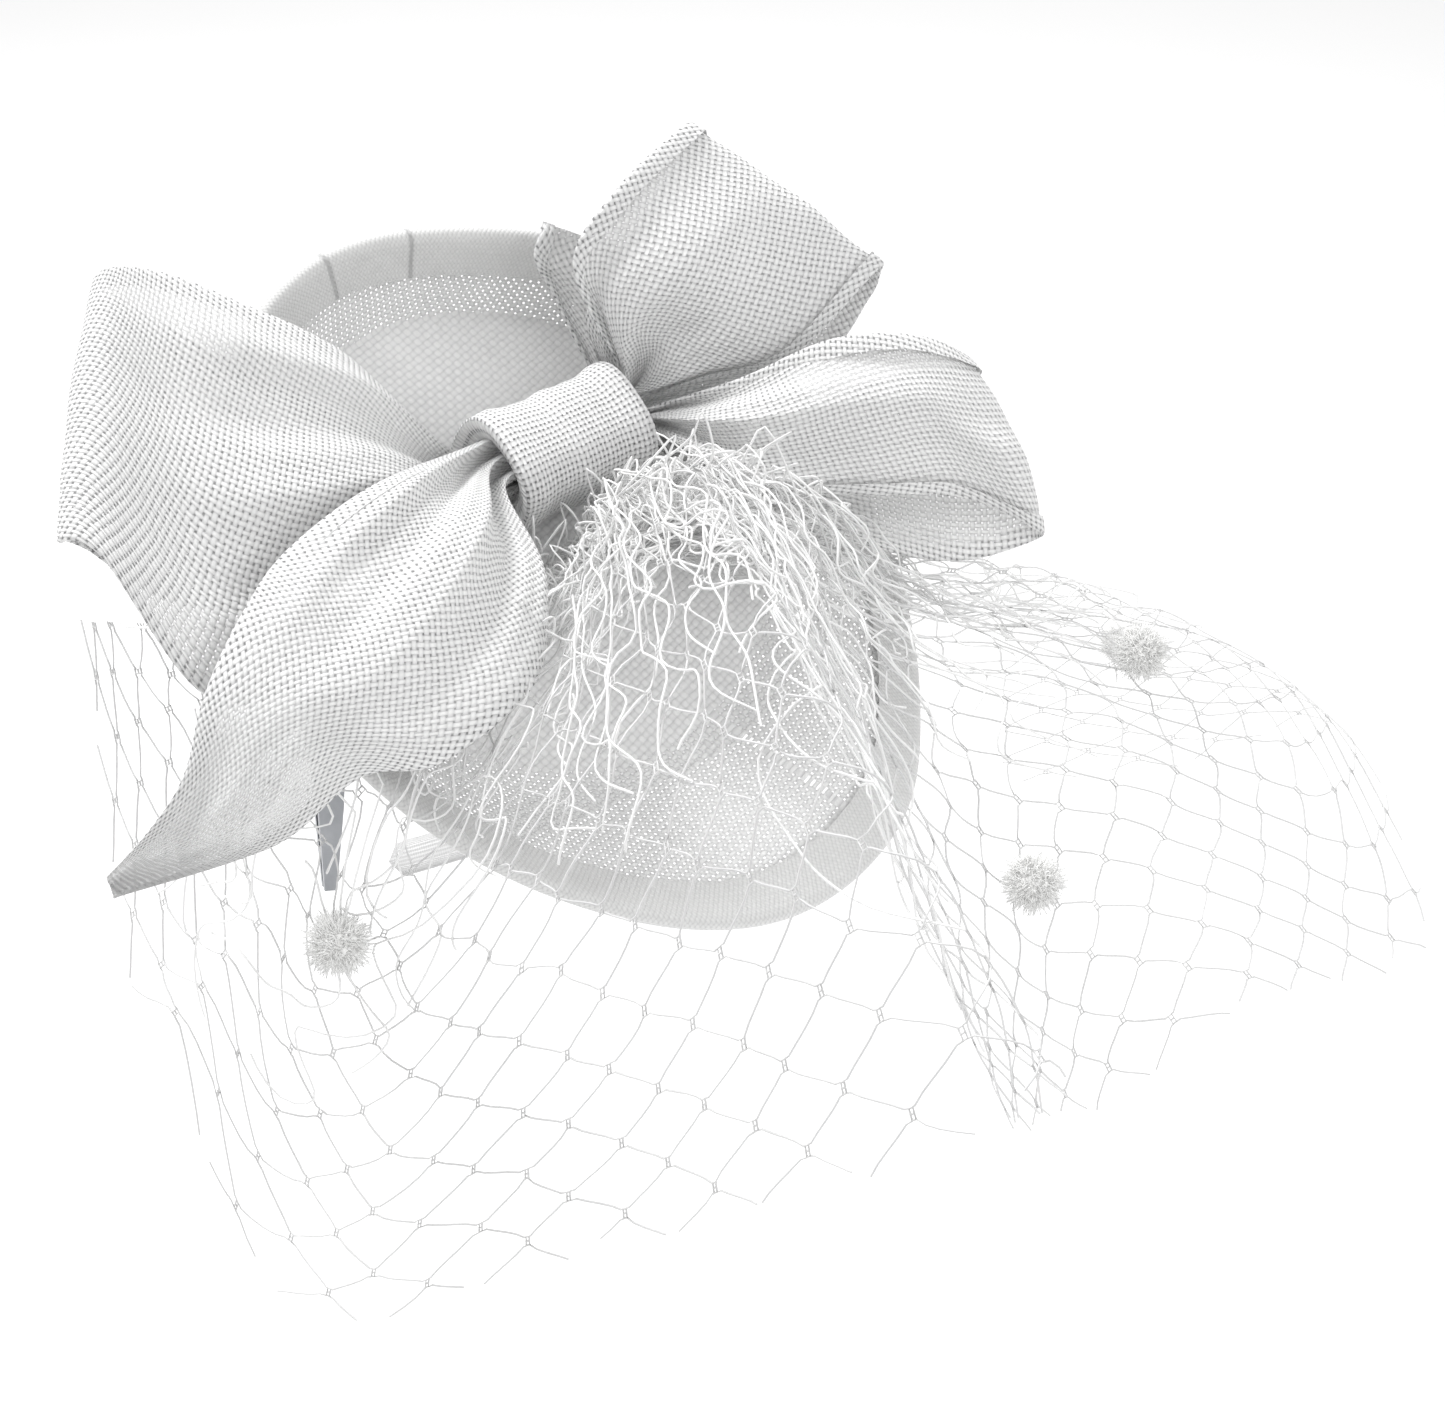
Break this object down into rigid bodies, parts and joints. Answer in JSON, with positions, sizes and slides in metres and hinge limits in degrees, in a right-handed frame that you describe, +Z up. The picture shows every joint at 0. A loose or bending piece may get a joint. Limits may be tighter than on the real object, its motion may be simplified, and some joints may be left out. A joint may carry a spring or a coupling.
{
  "type": "birdcage veil",
  "caption": "Tilted oval saucer hat in white open straw cloth with a large bow and a dotted open-mesh birdcage veil, on a headband with a small sprung clip.",
  "frame": {"origin": "middle of the underside of the hat's floor, where it sits on the head", "axes": "+Z up, -Y the way the wearer faces, +X the wearer's left; the hat is stored at the tilt at which it is worn"},
  "size_m": [0.2865, 0.2243, 0.2097],
  "materials": {
    "straw_cloth": "open woven straw cloth, matt with a faint sheen",
    "binding_ribbon": "folded straw cloth ribbon",
    "net_thread": "knotted thread, slightly glossy",
    "chenille": "soft chenille pile",
    "satin": "satin-covered strip",
    "clip_steel": "bright plated spring steel"
  },
  "bodies": {
    "hat": {"saucer_base": "straw_cloth", "rim_binding": "binding_ribbon", "bow_knot": "straw_cloth", "bow_loop_left": "straw_cloth", "bow_loop_top": "straw_cloth", "bow_loop_right": "straw_cloth", "bow_tail_front": "straw_cloth", "bow_tail_back": "straw_cloth", "veil_net": "net_thread", "veil_dot_1": "chenille", "veil_dot_2": "chenille", "veil_dot_3": "chenille", "veil_dot_4": "chenille", "headband": "satin", "hair_clip_upper_jaw": "clip_steel"},
    "clip_jaw": {"hair_clip_lower_jaw": "clip_steel"}
  },
  "joints": [
    {"name": "clip_hinge", "type": "hinge", "parent": "hat", "child": "clip_jaw", "pos_m": [-0.03341, -0.02583, -0.00365], "axis": [0.9034, 0.3766, -0.2049], "range_deg": [0, 22], "stiffness_Nm_per_rad": 0.08, "springref_deg": -17.19}
  ]
}
